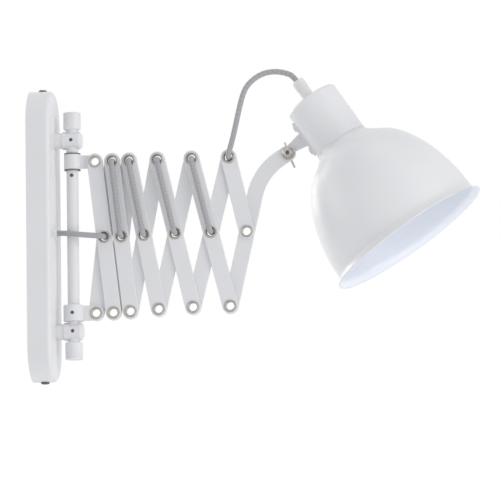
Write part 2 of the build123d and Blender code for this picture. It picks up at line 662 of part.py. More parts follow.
# The bell's curve from its neck to its skirt, as shares of the growth in radius and of the fall
BELL_CURVE = [(0, 0), (0.135, 0.055), (0.442, 0.166), (0.702, 0.353), (0.882, 0.587), (0.977, 0.824), (1, 1)]


def shade_face():
    """Half section of the shade: flange, bell and flared lip, as radius and height."""
    top = -CUP_LENGTH
    skirt_end = top - SHADE_DEPTH
    hole = HOLDER_RADIUS + HOLE_CLEARANCE
    neck = (SHADE_FLANGE_RADIUS, top - SHADE_NECK_HEIGHT)
    growth = SHADE_SKIRT_RADIUS - neck[0]
    fall = skirt_end - neck[1]
    bell = [(neck[0] + out * growth, neck[1] + down * fall) for out, down in BELL_CURVE]
    leaving = [(0.5, -1), (0, -1)]
    inner_neck = (neck[0] - SHADE_WALL, neck[1] - SHADE_WALL * 0.4)
    inner_bell = [inner_neck]
    for before, here, after in zip(bell, bell[1:], bell[2:]):
        run = Vector(after[0] - before[0], after[1] - before[1]).normalized()
        inner_bell.append((here[0] + SHADE_WALL * run.Y, here[1] - SHADE_WALL * run.X))
    inner_bell.append((SHADE_SKIRT_RADIUS - SHADE_WALL, skirt_end))
    centre = (SHADE_SKIRT_RADIUS + SHADE_LIP_RADIUS, skirt_end)
    outer_lip = CenterArc(centre, SHADE_LIP_RADIUS, 180, SHADE_LIP_TURN)
    inner_lip = CenterArc(centre, SHADE_LIP_RADIUS + SHADE_WALL, 180, SHADE_LIP_TURN)
    edges = [
        Spline(*bell, tangents=leaving),
        outer_lip,
        Line(outer_lip @ 1, inner_lip @ 1),
        inner_lip,
        Spline(*inner_bell, tangents=leaving),
        Polyline(inner_neck, (inner_neck[0], top - SHADE_WALL), (hole, top - SHADE_WALL),
                 (hole, top), (SHADE_FLANGE_RADIUS, top), neck),
    ]
    return make_face(edges)


def shade():
    """Spun shade of even thickness."""
    return revolve(Plane.XZ * shade_face(), Axis.Z)


def lamp_holder():
    """Holder body with a shoulder over the shade's flange and a skirt through it."""
    shoulder_low = -CUP_LENGTH
    shoulder_high = shoulder_low + HOLDER_SHOULDER_HEIGHT
    skirt_low = shoulder_low - HOLDER_SKIRT
    outline = [(0, -CUP_WALL), (HOLDER_RADIUS, -CUP_WALL), (HOLDER_RADIUS, shoulder_high),
               (HOLDER_SHOULDER_RADIUS, shoulder_high), (HOLDER_SHOULDER_RADIUS, shoulder_low),
               (HOLDER_RADIUS, shoulder_low), (HOLDER_RADIUS, skirt_low),
               (HOLDER_BORE_RADIUS, skirt_low), (HOLDER_BORE_RADIUS, skirt_low + HOLDER_BORE_DEPTH),
               (0, skirt_low + HOLDER_BORE_DEPTH)]
    body = turned_about_z(outline, [(1, HOLDER_TOP_ROUND)])
    return body - rod_z(0, 0, GLAND_THREAD_RADIUS, -GLAND_THREAD_LENGTH, 0)


def holder_contacts():
    """Screw shell and centre contact inside the lamp holder."""
    low = -CUP_LENGTH - HOLDER_SKIRT
    floor = low + HOLDER_BORE_DEPTH
    shell = rod_z(0, 0, HOLDER_BORE_RADIUS, floor - SHELL_INSET - SHELL_LENGTH, floor - SHELL_INSET)
    shell -= rod_z(0, 0, HOLDER_BORE_RADIUS - SHELL_WALL, low - 1, floor)
    contact = rod_z(0, 0, CONTACT_RADIUS, floor - CONTACT_HEIGHT, floor)
    return [shell, contact]


def shade_ring():
    """Ribbed ring that clamps the shade up against the holder's shoulder."""
    top = -CUP_LENGTH - SHADE_WALL
    ring = rod_z(0, 0, SHADE_RING_RADIUS, top - SHADE_RING_HEIGHT, top)
    flute = Pos(SHADE_RING_RADIUS + FLUTE_RADIUS - FLUTE_DEPTH, 0, top - SHADE_RING_HEIGHT / 2)
    flute = flute * Cylinder(FLUTE_RADIUS, SHADE_RING_HEIGHT + 1)
    for step in range(SHADE_RING_FLUTES):
        ring -= Rot(0, 0, step * 360 / SHADE_RING_FLUTES) * flute
    return ring - rod_z(0, 0, HOLDER_RADIUS, top - SHADE_RING_HEIGHT - 1, top + 1)


def gland_body():
    """Threaded gland body with a hexagon, screwed through the cup into the lamp holder."""
    body = rod_z(0, 0, GLAND_THREAD_RADIUS, -GLAND_THREAD_LENGTH, 1)
    body += extrude(RegularPolygon(GLAND_HEX_ACROSS / 2, 6, major_radius=False), GLAND_HEX_HEIGHT)
    body += rod_z(0, 0, GLAND_BODY_RADIUS, 1, GLAND_HEX_HEIGHT + GLAND_BODY_HEIGHT)
    bore = CABLE_RADIUS + CABLE_CLEARANCE
    return body - rod_z(0, 0, bore, -GLAND_THREAD_LENGTH - 1, GLAND_HEX_HEIGHT + GLAND_BODY_HEIGHT + 1)


def gland_nut():
    """Cap nut of the gland, rounded at the cable's mouth."""
    low = GLAND_HEX_HEIGHT + GLAND_BODY_HEIGHT
    high = low + GLAND_NUT_HEIGHT
    bore = CABLE_RADIUS + CABLE_CLEARANCE
    outline = [(bore, low), (GLAND_NUT_RADIUS, low), (GLAND_NUT_RADIUS, high), (bore, high)]
    return turned_about_z(outline, list(enumerate(GLAND_NUT_ROUNDS, start=1)))


def head_bracket():
    """Saddle foot on the cup with a flat tab out to the pivot."""
    outer = -CUP_RADIUS - FOOT_THICKNESS
    foot = block(outer, -CUP_RADIUS + 1.5, -FOOT_WIDTH / 2, FOOT_WIDTH / 2,
                 FOOT_Z - FOOT_LENGTH / 2, FOOT_Z + FOOT_LENGTH / 2)
    corners = foot.edges().filter_by(Axis.X)
    foot = fillet(corners, FOOT_CORNER_ROUND)
    low = REAR_FACE + 2 * LAYER_GAP
    high = low + TAB_THICKNESS
    wide = TAB_ROOT_WIDTH / 2
    narrow = TAB_END_WIDTH / 2
    pivot = (-PIVOT_TO_AXIS, -PIVOT_BELOW_TOP)
    root = -CUP_RADIUS - FOOT_THICKNESS / 2
    outline = make_face(Polyline((root, TAB_Z + wide), (root, TAB_Z - wide),
                                 (pivot[0], TAB_Z - narrow), (pivot[0], TAB_Z + narrow), close=True))
    outline += Pos(*pivot) * Circle(TAB_END_RADIUS)
    bracket = foot + extrude(Plane.XZ.offset(-high) * outline, TAB_THICKNESS)
    bracket -= rod_z(0, 0, CUP_RADIUS, -CUP_LENGTH - 1, 1)
    bracket -= rod_y(*pivot, PIVOT_RADIUS + SLIDE_CLEARANCE, low - 1, high + 1)
    for side in SIDES:
        z = FOOT_Z + side * FOOT_SCREW_SPACING / 2
        bracket -= rod_x(0, z, FOOT_SCREW_RADIUS, outer - 1, 0)
    return bracket


def foot_screw(side):
    """Round head screw through the bracket's foot and the cup's wall."""
    seat = CUP_RADIUS + FOOT_THICKNESS
    inner = CUP_RADIUS - CUP_WALL - FOOT_NUT_HEIGHT - 1.0
    outline = [(0, inner), (FOOT_SCREW_RADIUS, inner), (FOOT_SCREW_RADIUS, seat),
               (FOOT_SCREW_HEAD_RADIUS, seat), (FOOT_SCREW_HEAD_RADIUS, seat + FOOT_SCREW_HEAD_HEIGHT),
               (0, seat + FOOT_SCREW_HEAD_HEIGHT)]
    screw = turned_about_z(outline, [(4, FOOT_SCREW_HEAD_ROUND)])
    screw -= Pos(0, 0, seat + FOOT_SCREW_HEAD_HEIGHT) * Box(1.0, 2 * FOOT_SCREW_HEAD_RADIUS, 2.0)
    return Pos(0, 0, FOOT_Z + side * FOOT_SCREW_SPACING / 2) * Rot(0, -90, 0) * screw


def foot_nut(side):
    """Hexagon nut inside the cup."""
    radius = CUP_RADIUS - CUP_WALL
    seat = (radius**2 - (FOOT_NUT_ACROSS / 2) ** 2) ** 0.5 - CLAMP_CLEARANCE
    nut = extrude(RegularPolygon(FOOT_NUT_ACROSS / 2, 6, rotation=30, major_radius=False), FOOT_NUT_HEIGHT)
    nut -= rod_z(0, 0, FOOT_SCREW_RADIUS, -1, FOOT_NUT_HEIGHT + 1)
    z = FOOT_Z + side * FOOT_SCREW_SPACING / 2
    return Pos(-seat + FOOT_NUT_HEIGHT, 0, z) * Rot(0, -90, 0) * nut


# Head pivot: screw from the front through the arm and the bracket's tab to a wing nut

def pivot_layers():
    """Y of the stack: front washer, arm, tab, rear washer, wing nut, in the order they are put on."""
    front_washer = LAYER_GAP - WASHER_THICKNESS
    tab_rear = REAR_FACE + 2 * LAYER_GAP + TAB_THICKNESS
    rear_washer = tab_rear + FLANGE_CLEARANCE
    nut = rear_washer + WASHER_THICKNESS + FLANGE_CLEARANCE
    return front_washer, rear_washer, nut


def pivot_screw():
    """Button head screw with a hexagon socket."""
    x, z = HEAD_PIVOT
    front, _, nut = pivot_layers()
    outline = [(0, front - PIVOT_HEAD_HEIGHT), (PIVOT_HEAD_RADIUS, front - PIVOT_HEAD_HEIGHT),
               (PIVOT_HEAD_RADIUS, front), (PIVOT_RADIUS, front),
               (PIVOT_RADIUS, nut + WING_HUB_HEIGHT + 2), (0, nut + WING_HUB_HEIGHT + 2)]
    screw = turned_about_z(outline, [(1, PIVOT_HEAD_ROUND)])
    socket = extrude(RegularPolygon(PIVOT_SOCKET_ACROSS / 2, 6, major_radius=False), PIVOT_SOCKET_DEPTH)
    screw -= Pos(0, 0, front - PIVOT_HEAD_HEIGHT) * socket
    return Pos(x, 0, z) * Rot(-90, 0, 0) * screw


def pivot_washers():
    """A washer under the screw's head and one under the wing nut."""
    x, z = HEAD_PIVOT
    front, rear, _ = pivot_layers()
    washers = []
    for low in (front, rear):
        washer = rod_y(x, z, WASHER_RADIUS, low, low + WASHER_THICKNESS)
        washers.append(washer - rod_y(x, z, PIVOT_RADIUS, low - 1, low + WASHER_THICKNESS + 1))
    return washers


def wing_nut():
    """Hub with two thin upright wings."""
    x, z = HEAD_PIVOT
    low = pivot_layers()[2]
    nut = rod_z(0, 0, WING_HUB_RADIUS, low, low + WING_HUB_HEIGHT)
    wing = Polyline((0, low + 1), (WING_SPAN_RADIUS * 0.7, low + 2),
                    (WING_SPAN_RADIUS, low + WING_HUB_HEIGHT),
                    (WING_SPAN_RADIUS - 1, low + WING_HUB_HEIGHT + WING_RISE),
                    (WING_SPAN_RADIUS * 0.6, low + WING_HUB_HEIGHT + 1),
                    (0, low + WING_HUB_HEIGHT - 1), close=True)
    plate = extrude(Plane.XZ.offset(-WING_THICKNESS / 2) * make_face(wing), WING_THICKNESS)
    nut += plate
    nut += Rot(0, 0, 180) * plate
    nut -= rod_z(0, 0, PIVOT_RADIUS + RUN_CLEARANCE, low - 1, low + WING_HUB_HEIGHT + WING_RISE)
    return Pos(x, 0, z) * Rot(0, 90 - WING_ANGLE, 0) * Rot(-90, 0, 0) * nut


# Cable: textile lead threaded through the eyelets, with a free stretch at each end

def bend_radii(points):
    """Radius at each inner point of a route: 0.45 of the shorter run over tan of half the turn."""
    radii = []
    for before, here, after in zip(points, points[1:], points[2:]):
        first = Vector(here) - Vector(before)
        second = Vector(after) - Vector(here)
        shorter = min(first.length, second.length)
        radii.append(0.45 * shorter / tan(radians(first.get_angle(second) / 2)))
    return radii


def tube(name, points, radii):
    """Round cable along straight runs and tangent arcs, with its radii and volume compared."""
    path = FilletPolyline(*points, radius=radii)
    section = Plane(origin=path @ 0, z_dir=path % 0) * Circle(CABLE_RADIUS)
    cable = sweep(section, path)
    share = cable.volume / (3.14159265 * CABLE_RADIUS**2 * path.length)
    print(name, "radii", [round(radius, 1) for radius in radii],
          "length", round(path.length, 1), "volume share", round(share, 4))
    return cable


def woven_cable(name, start, end, side):
    """Stretch that lies along one link between two eyelets, from bore centre to bore centre."""
    offset = side * WEAVE_OFFSET
    points = [(start[0], 0, start[1]), (start[0], offset, start[1]),
              (end[0], offset, end[1]), (end[0], 0, end[1])]
    return tube(name, points, [WEAVE_RADIUS, WEAVE_RADIUS])


ENTRY_FREE = [
    (20.0, 0.0, CABLE_EXIT_Z),
    (33.2, 0.0, CABLE_EXIT_Z),
    (41.0, -11.5, 1.6),
    (46.5, -12.4, 0.9),
]
ENTRY_TO_ARM = [
    (46.5, -12.4, 0.9),
    (52.0, -13.3, 0.2),
    (64.0, -10.8, -0.8),
    (MIDDLE[0][0], -WEAVE_OFFSET, MIDDLE[0][1]),
    (MIDDLE[0][0], 0.0, MIDDLE[0][1]),
]
LOOP_UP = [
    (TOP[-1][0], 0.0, TOP[-1][1]),
    (TOP[-1][0], -WEAVE_OFFSET, TOP[-1][1]),
    (223.1, -9.0, 101.2),
    (227.37, -8.24, 121.0),
]
LOOP_OVER = [
    (227.37, -8.24, 121.0),
    (231.0, -7.6, 137.8),
    (235.6, -6.2, 153.3),
    (241.8, -5.0, 162.0),
    (250.5, -3.6, 168.8),
    (260.7, -2.5, 172.8),
    (271.8, -1.2, 173.3),
    (281.6, -0.4, 171.2),
]


def loop_over_points():
    """The end of the free loop, led straight into the gland."""
    place = head_place()
    gland_top = GLAND_HEX_HEIGHT + GLAND_BODY_HEIGHT + GLAND_NUT_HEIGHT
    above = (place * Pos(0, 0, gland_top + GLAND_LEAD)).position
    inside = (place * Pos(0, 0, GLAND_HEX_HEIGHT)).position
    return LOOP_OVER + [tuple(above), tuple(inside)]


def cables():
    """All stretches of the cable, by name."""
    out = {"cable_entry": tube("cable_entry", ENTRY_FREE, bend_radii(ENTRY_FREE))}
    radii = bend_radii(ENTRY_TO_ARM)[:-1] + [WEAVE_RADIUS - 0.2]
    out["cable_to_arm"] = tube("cable_to_arm", ENTRY_TO_ARM, radii)
    for cell in range(5):
        name = f"cable_rear_{cell + 1}"
        out[name] = woven_cable(name, MIDDLE[cell], TOP[cell + 1], 1)
    for cell in range(1, 5):
        name = f"cable_front_{cell + 1}"
        out[name] = woven_cable(name, TOP[cell], MIDDLE[cell], -1)
    radii = [WEAVE_RADIUS - 0.2] + bend_radii(LOOP_UP)[1:]
    out["cable_loop_up"] = tube("cable_loop_up", LOOP_UP, radii)
    over = loop_over_points()
    out["cable_loop_over"] = tube("cable_loop_over", over, bend_radii(over))
    return out


# Write every piece

def main():
    os.makedirs("parts", exist_ok=True)
    write("plate_cover", plate_cover())
    write("wall_bracket", wall_bracket())
    write("cover_screws", *cover_screws())
    write("terminal_block", terminal_block())
    write("terminal_screws", *terminal_screws())
    write("cord_grommet", cord_grommet())
    write("rod_brackets", *(rod_bracket(side) for side in SIDES))
    write("bracket_bolts", *(bracket_bolt(side) for side in SIDES))
    write("rod_grub_screws", *rod_grub_screws())
    write("guide_rod", guide_rod())
    write("rod_caps", *(rod_cap(side) for side in SIDES))
    write("snap_rings", *snap_rings())
    write("upper_sleeve", upper_sleeve())
    write("lower_sleeve", lower_sleeve())
    write("drag_screw", drag_screw())
    last = len(REST_ANGLES) - 1
    for cell in range(last):
        write(f"front_link_{cell + 1}", front_link(cell))
        write(f"rear_link_{cell + 1}", rear_link(cell))
        stops = (TOP[cell], MIDDLE[cell], BOTTOM[cell + 1])
        write(f"eyelets_{cell + 1}", *(eyelet(stop, -1) for stop in stops))
    write("front_half_link", front_link(last))
    write("curved_arm", curved_arm())
    write("eyelets_6", eyelet(TOP[last], -1), eyelet(MIDDLE[last], -1))
    write("lower_tab_eyelet", eyelet(BOTTOM[0], 1))
    place = head_place()
    write("socket_cup", place * socket_cup())
    write("shade", place * shade())
    write("lamp_holder", place * lamp_holder())
    write("holder_contacts", *(place * piece for piece in holder_contacts()))
    write("shade_ring", place * shade_ring())
    write("gland_body", place * gland_body())
    write("gland_nut", place * gland_nut())
    write("head_bracket", place * head_bracket())
    write("bracket_screws", *(place * foot_screw(side) for side in SIDES))
    write("bracket_nuts", *(place * foot_nut(side) for side in SIDES))
    write("pivot_screw", pivot_screw())
    write("pivot_washers", *pivot_washers())
    write("wing_nut", wing_nut())
    for name, cable in cables().items():
        write(name, cable)


main()
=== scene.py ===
from math import atan2, ceil, cos, hypot, pi, radians, sin, tau

import bmesh
import bpy
from mathutils import Matrix, Vector


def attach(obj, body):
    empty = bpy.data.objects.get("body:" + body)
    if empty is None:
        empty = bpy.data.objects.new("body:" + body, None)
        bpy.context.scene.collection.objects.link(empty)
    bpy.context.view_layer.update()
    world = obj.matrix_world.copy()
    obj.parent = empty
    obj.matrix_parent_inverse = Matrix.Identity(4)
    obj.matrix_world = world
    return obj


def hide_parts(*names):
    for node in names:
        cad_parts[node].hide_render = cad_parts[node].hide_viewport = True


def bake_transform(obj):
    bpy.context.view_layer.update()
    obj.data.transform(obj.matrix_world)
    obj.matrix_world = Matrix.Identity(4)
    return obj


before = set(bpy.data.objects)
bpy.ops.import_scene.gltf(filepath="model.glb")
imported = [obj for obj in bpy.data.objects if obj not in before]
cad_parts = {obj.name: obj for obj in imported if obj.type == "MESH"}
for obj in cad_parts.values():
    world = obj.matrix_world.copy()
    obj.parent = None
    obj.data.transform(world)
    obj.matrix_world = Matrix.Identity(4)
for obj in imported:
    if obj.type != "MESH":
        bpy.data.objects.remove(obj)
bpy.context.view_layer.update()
scene = bpy.context.scene


# The camera. A long lens seven metres away, below the lamp and turned a few degrees to its right, so
# that the plate's face and the inside of the shade just show.
camera_turn = radians(7.676)
camera_rise = radians(-6.946)
camera_roll = radians(-0.726)
camera_distance = 7.336
camera_target = Vector((0.2389, 0.0, -0.0208))
lens_length = 487.8
sensor_width = 36.0

forward = Vector((-sin(camera_turn) * cos(camera_rise), cos(camera_turn) * cos(camera_rise),
                  -sin(camera_rise)))
level_right = Vector((cos(camera_turn), sin(camera_turn), 0.0))
level_up = level_right.cross(forward)
camera_right = level_right * cos(camera_roll) + level_up * sin(camera_roll)
camera_up = level_up * cos(camera_roll) - level_right * sin(camera_roll)
lens = bpy.data.cameras.new("camera")
lens.lens = lens_length
lens.sensor_width = sensor_width
lens.clip_end = 60.0
camera = bpy.data.objects.new("camera", lens)
scene.collection.objects.link(camera)
turned = Matrix((camera_right, camera_up, -forward)).transposed().to_4x4()
camera.matrix_world = Matrix.Translation(camera_target - forward * camera_distance) @ turned
scene.camera = camera


# The cable. A 6 mm textile lead, grey yarn braided over its cores. It comes out of the wall plate,
# runs through the middle and top eyelets all along the arm, and swings in a free loop to the head.
cable_radius = 0.003
braid_repeats = 12
braid_pitch = 0.0042
braid_relief = 0.00012
braid_middle = 0.7
line_steps = 64
ring_spacing = 0.0004
ring_corners = 48
weave_depth = 0.00895

top_pivots = [(0.0701, 0.081), (0.089005, 0.081), (0.10762, 0.081),
              (0.13863, 0.081), (0.17619, 0.081), (0.21688, 0.081)]
middle_pivots = [(0.07955, -0.00196), (0.09831, -0.00198), (0.12312, -0.00105),
                 (0.15741, -0.00036), (0.19654, 0.00002), (0.2358, -0.00033)]


def shader_node(tree, kind, inputs=None, **settings):
    """Add a node and give its outputs. Inputs go by socket name or number, as values or as links."""
    made = tree.nodes.new("ShaderNode" + kind)
    for name, value in settings.items():
        setattr(made, name, value)
    plug(tree, made, inputs or {})
    return made.outputs


def plug(tree, node, inputs):
    """Set or link the inputs of a node."""
    for socket, value in inputs.items():
        if isinstance(value, bpy.types.NodeSocket):
            tree.links.new(value, node.inputs[socket])
        else:
            node.inputs[socket].default_value = value


def new_finish(name):
    """A new material, its node tree and its shader."""
    material = bpy.data.materials.new(name)
    material.use_nodes = True
    return material, material.node_tree, material.node_tree.nodes["Principled BSDF"]


def ramp(tree, factor, *stops):
    """A colour ramp between stops of position and colour."""
    node = tree.nodes.new("ShaderNodeValToRGB")
    tree.links.new(factor, node.inputs[0])
    for element, (position, colour) in zip(node.color_ramp.elements, stops):
        element.position = position
        element.color = (*colour, 1.0)
    return node.outputs[0]


def maths(tree, operation, first, second=0.0, third=0.0):
    """One step of arithmetic in a material."""
    return shader_node(tree, "Math", {0: first, 1: second, 2: third}, operation=operation)[0]


def textile_braid():
    """Matt yarn: two sets of strands that cross, each of fine fibres, in an uneven grey."""
    material, tree, shader = new_finish("cable_textile")
    turns, along = shader_node(tree, "SeparateXYZ", {0: shader_node(tree, "UVMap")[0]})[:2]
    turns = maths(tree, "MULTIPLY", turns, float(braid_repeats))
    along = maths(tree, "DIVIDE", along, braid_pitch)
    strands = []
    for operation in ("ADD", "SUBTRACT"):
        slant = maths(tree, "MULTIPLY", maths(tree, operation, turns, along), pi)
        strands.append(maths(tree, "ABSOLUTE", maths(tree, "SINE", slant)))
    crossing = maths(tree, "MAXIMUM", *strands)
    surface = shader_node(tree, "CombineXYZ", {0: turns, 1: along})[0]
    fibres = shader_node(tree, "TexNoise", {"Vector": surface, "Scale": 5.0, "Detail": 4.0})[0]
    yarn = ramp(tree, crossing, (0.45, (0.36, 0.36, 0.37)), (1.0, (0.50, 0.50, 0.512)))
    lint = ramp(tree, fibres, (0.3, (0.82, 0.82, 0.82)), (0.7, (1.0, 1.0, 1.0)))
    colour = shader_node(tree, "MixRGB", {0: 1.0, 1: yarn, 2: lint}, blend_type="MULTIPLY")[0]
    height = maths(tree, "MULTIPLY_ADD", fibres, 0.5, crossing)
    bump = shader_node(tree, "Bump", {"Strength": 0.4, "Distance": 0.0001, "Height": height})[0]
    plug(tree, shader, {"Base Color": colour, "Roughness": 0.85, "Specular IOR Level": 0.25,
                        "Sheen Weight": 0.25, "Sheen Roughness": 0.5, "Normal": bump})
    return material


textile = textile_braid()


def put_in_scene(name, data):
    """Put finished data in the scene as an object at the origin."""
    made = bpy.data.objects.new(name, data)
    scene.collection.objects.link(made)
    return made


def line_curve(kind, points):
    """A curve of one open spline on the points."""
    curve = bpy.data.curves.new("line", "CURVE")
    curve.dimensions = "3D"
    spline = curve.splines.new(kind)
    spline.points.add(len(points) - 1)
    for knot, place in zip(spline.points, points):
        knot.co = (*place, 1.0)
    return curve


def smooth_line(points):
    """The NURBS line that a stretch of cable lies on, read at even spacing, and its length."""
    curve = line_curve("NURBS", points)
    curve.splines[0].order_u = 3
    curve.splines[0].use_endpoint_u = True
    curve.splines[0].resolution_u = line_steps
    bare = bpy.data.objects.new("bare", curve)
    line = [vertex.co.copy() for vertex in bpy.data.meshes.new_from_object(bare).vertices]
    reach = [0.0]
    for start, end in zip(line, line[1:]):
        reach.append(reach[-1] + (end - start).length)
    length = reach[-1]
    count = ceil(length / ring_spacing)
    rings, at = [], 0
    for step in range(count + 1):
        wanted = length * step / count
        while at < len(reach) - 2 and reach[at + 1] < wanted:
            at += 1
        share = (wanted - reach[at]) / (reach[at + 1] - reach[at])
        rings.append(line[at].lerp(line[at + 1], share))
    return rings, length


def braided_cable(name, points):
    """Tube along a route with the relief of its braid, and a UV map in turns and metres."""
    rings, length = smooth_line(points)
    curve = line_curve("POLY", rings)
    curve.twist_mode = "MINIMUM"
    curve.bevel_depth = cable_radius
    curve.bevel_resolution = ring_corners // 2 - 2
    mesh = bpy.data.meshes.new_from_object(bpy.data.objects.new("tube", curve))
    mesh.name = name
    around = len(mesh.vertices) // len(rings)
    for vertex in mesh.vertices:
        ring, corner = divmod(vertex.index, around)
        turns = braid_repeats * corner / around
        along = length * ring / (len(rings) - 1) / braid_pitch
        crossing = max(abs(sin(pi * (turns + along))), abs(sin(pi * (turns - along))))
        grown = 1 + braid_relief * (crossing - braid_middle) / cable_radius
        vertex.co = rings[ring] + (vertex.co - rings[ring]) * grown
    for corner in mesh.uv_layers[0].data:
        corner.uv = (corner.uv[0], corner.uv[1] * length)
    made = put_in_scene(name, mesh)
    mesh.materials.append(textile)
    return made, rings, length


def free_cable(name, node, points):
    """A stretch that runs between two bodies, built in place and carried by neither."""
    made, rings, length = braided_cable(name, points)
    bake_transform(made)
    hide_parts(node)
    return made, rings, length


def woven_points(start, end, side):
    """From one bore's centre out over the links to the next bore's centre."""
    depth = side * weave_depth
    first, last = Vector((start[0], 0, start[1])), Vector((end[0], 0, end[1]))
    out = Vector((0, depth, 0))
    step = (last - first).normalized() * weave_depth
    return [first, first + out, first + out + step, last + out - step, last + out, last]


# The lead's end inside the plate is held behind the grommet, and is out of sight.
entry_points = [(0.02, 0.0, 0.0036), (0.0332, 0.0, 0.0036), (0.041, -0.0115, 0.0016),
                (0.0465, -0.0124, 0.0009)]
free_cable("cable_out_of_plate", "cable_entry", entry_points)
to_arm_points = [(0.0465, -0.0124, 0.0009), (0.052, -0.0133, 0.0002), (0.064, -0.0108, -0.0008),
                 (middle_pivots[0][0], -weave_depth, middle_pivots[0][1]),
                 (middle_pivots[0][0], 0.0, middle_pivots[0][1])]
to_arm, to_arm_line, to_arm_length = free_cable(
    "cable_to_first_eyelet", "cable_to_arm", to_arm_points)

for cell in range(5):
    behind, _, _ = braided_cable(f"cable_behind_{cell + 1}",
                                 woven_points(middle_pivots[cell], top_pivots[cell + 1], 1))
    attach(behind, f"rear_{cell + 1}")
    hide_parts(f"cable_rear_{cell + 1}")
for cell in range(1, 5):
    before, _, _ = braided_cable(f"cable_before_{cell + 1}",
                                 woven_points(top_pivots[cell], middle_pivots[cell], -1))
    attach(before, f"front_{cell + 1}")
    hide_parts(f"cable_front_{cell + 1}")

loop_up_points = [(0.21688, 0.0, 0.081), (0.21688, -weave_depth, 0.081), (0.2231, -0.009, 0.1012),
                  (0.22737, -0.00824, 0.121)]
# The head is measured from the top of its cup, with its axis upright. head_place tilts it to its pivot.
head_pivot = Vector((0.28163, 0.0, 0.08374))
head_tilt = radians(-34.5)
pivot_to_axis = 0.0539
pivot_below_top = 0.0335
gland_mouth = 0.031
cable_end = 0.004
head_place = (Matrix.Translation(head_pivot) @ Matrix.Rotation(head_tilt, 4, "Y")
              @ Matrix.Translation((pivot_to_axis, 0, pivot_below_top)))
loop_over_points = [(0.22737, -0.00824, 0.121), (0.231, -0.0076, 0.1378), (0.2356, -0.0062, 0.1533),
                    (0.2418, -0.005, 0.162), (0.2505, -0.0036, 0.1688), (0.2607, -0.0025, 0.1728),
                    (0.2718, -0.0012, 0.1733), (0.2816, -0.0004, 0.1712),
                    head_place @ Vector((0, 0, gland_mouth)), head_place @ Vector((0, 0, cable_end))]
loop_up, loop_up_line, loop_up_length = free_cable(
    "cable_loop_up_from_arm", "cable_loop_up", loop_up_points)
loop_over, loop_over_line, loop_over_length = free_cable(
    "cable_loop_over_to_head", "cable_loop_over", loop_over_points)


# The strap on the wall. Folded from 2 mm zinc plated steel, with two wall holes and an ear at each end
# for the cover screws, and the two bolts that hold the rod brackets, put in from behind.
def brushed_metal(name, colour, roughness, scratches):
    """Metal with fine drawn lines and a patchy polish."""
    material, tree, shader = new_finish(name)
    place = shader_node(tree, "TexCoord")["Object"]
    lines = shader_node(tree, "TexNoise", {"Vector": place, "Scale": 2600.0, "Detail": 4.0})[0]
    patches = shader_node(tree, "TexNoise", {"Vector": place, "Scale": 180.0, "Detail": 3.0})[0]
    dull = tuple(0.8 * share for share in colour)
    tone = ramp(tree, patches, (0.3, dull), (0.7, colour))
    polish = shader_node(tree, "MapRange", {0: lines, 3: roughness - 0.08, 4: roughness + 0.1})[0]
    bump = shader_node(tree, "Bump", {"Strength": scratches, "Distance": 0.00005, "Height": lines})[0]
    plug(tree, shader, {"Base Color": tone, "Metallic": 1.0, "Roughness": polish, "Normal": bump})
    return material


def give_finish(material, *names):
    """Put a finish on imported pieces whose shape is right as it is."""
    for name in names:
        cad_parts[name].material_slots[0].material = material


zinc = brushed_metal("zinc_plate", (0.62, 0.63, 0.66), 0.42, 0.25)
give_finish(zinc, "wall_bracket", "bracket_bolts", "bracket_nuts")


# The terminal block. Moulded in white polyamide and screwed to the strap, with a brass clamp screw
# in each of its three wells.
def moulded_plastic(name, colour, roughness):
    """Moulded plastic with a fine spark-eroded grain and a little flow shading."""
    material, tree, shader = new_finish(name)
    place = shader_node(tree, "TexCoord")["Object"]
    grain = shader_node(tree, "TexNoise", {"Vector": place, "Scale": 3200.0, "Detail": 2.0})[0]
    flow = shader_node(tree, "TexNoise", {"Vector": place, "Scale": 90.0, "Detail": 2.0})[0]
    tone = ramp(tree, flow, (0.3, tuple(0.96 * share for share in colour)), (0.7, colour))
    polish = shader_node(tree, "MapRange", {0: grain, 3: roughness - 0.05, 4: roughness + 0.07})[0]
    bump = shader_node(tree, "Bump", {"Strength": 0.2, "Distance": 0.00004, "Height": grain})[0]
    plug(tree, shader, {"Base Color": tone, "Roughness": polish, "Normal": bump,
                        "Subsurface Weight": 0.03, "Subsurface Scale": 0.002})
    return material


white_plastic = moulded_plastic("white_plastic", (0.80, 0.80, 0.80), 0.4)
give_finish(white_plastic, "terminal_block")
brass = brushed_metal("brass", (0.80, 0.60, 0.30), 0.3, 0.2)
give_finish(brass, "terminal_screws")


# The wall plate. A stadium pressed from steel sheet and powder coated satin white, as are the rod,
# the sleeves, the links and the head.
def powder_coat(name, colour, roughness):
    """Satin powder coat: a fine orange peel, and a film that is a little thicker here than there."""
    material, tree, shader = new_finish(name)
    place = shader_node(tree, "TexCoord")["Object"]
    peel = shader_node(tree, "TexNoise", {"Vector": place, "Scale": 950.0, "Detail": 2.0,
                                          "Roughness": 0.4})[0]
    grain = shader_node(tree, "TexNoise", {"Vector": place, "Scale": 4200.0, "Detail": 1.0})[0]
    film = shader_node(tree, "TexNoise", {"Vector": place, "Scale": 22.0, "Detail": 3.0})[0]
    tone = ramp(tree, film, (0.3, tuple(0.975 * share for share in colour)), (0.7, colour))
    polish = shader_node(tree, "MapRange", {0: peel, 3: roughness - 0.05, 4: roughness + 0.06})[0]
    height = maths(tree, "MULTIPLY_ADD", grain, 0.25, peel)
    bump = shader_node(tree, "Bump", {"Strength": 0.22, "Distance": 0.00006, "Height": height})[0]
    plug(tree, shader, {"Base Color": tone, "Roughness": polish, "Normal": bump, "Coat Weight": 0.15,
                        "Coat Roughness": 0.3})
    return material


enamel = powder_coat("white_enamel", (0.79, 0.79, 0.80), 0.42)
give_finish(enamel, "plate_cover")


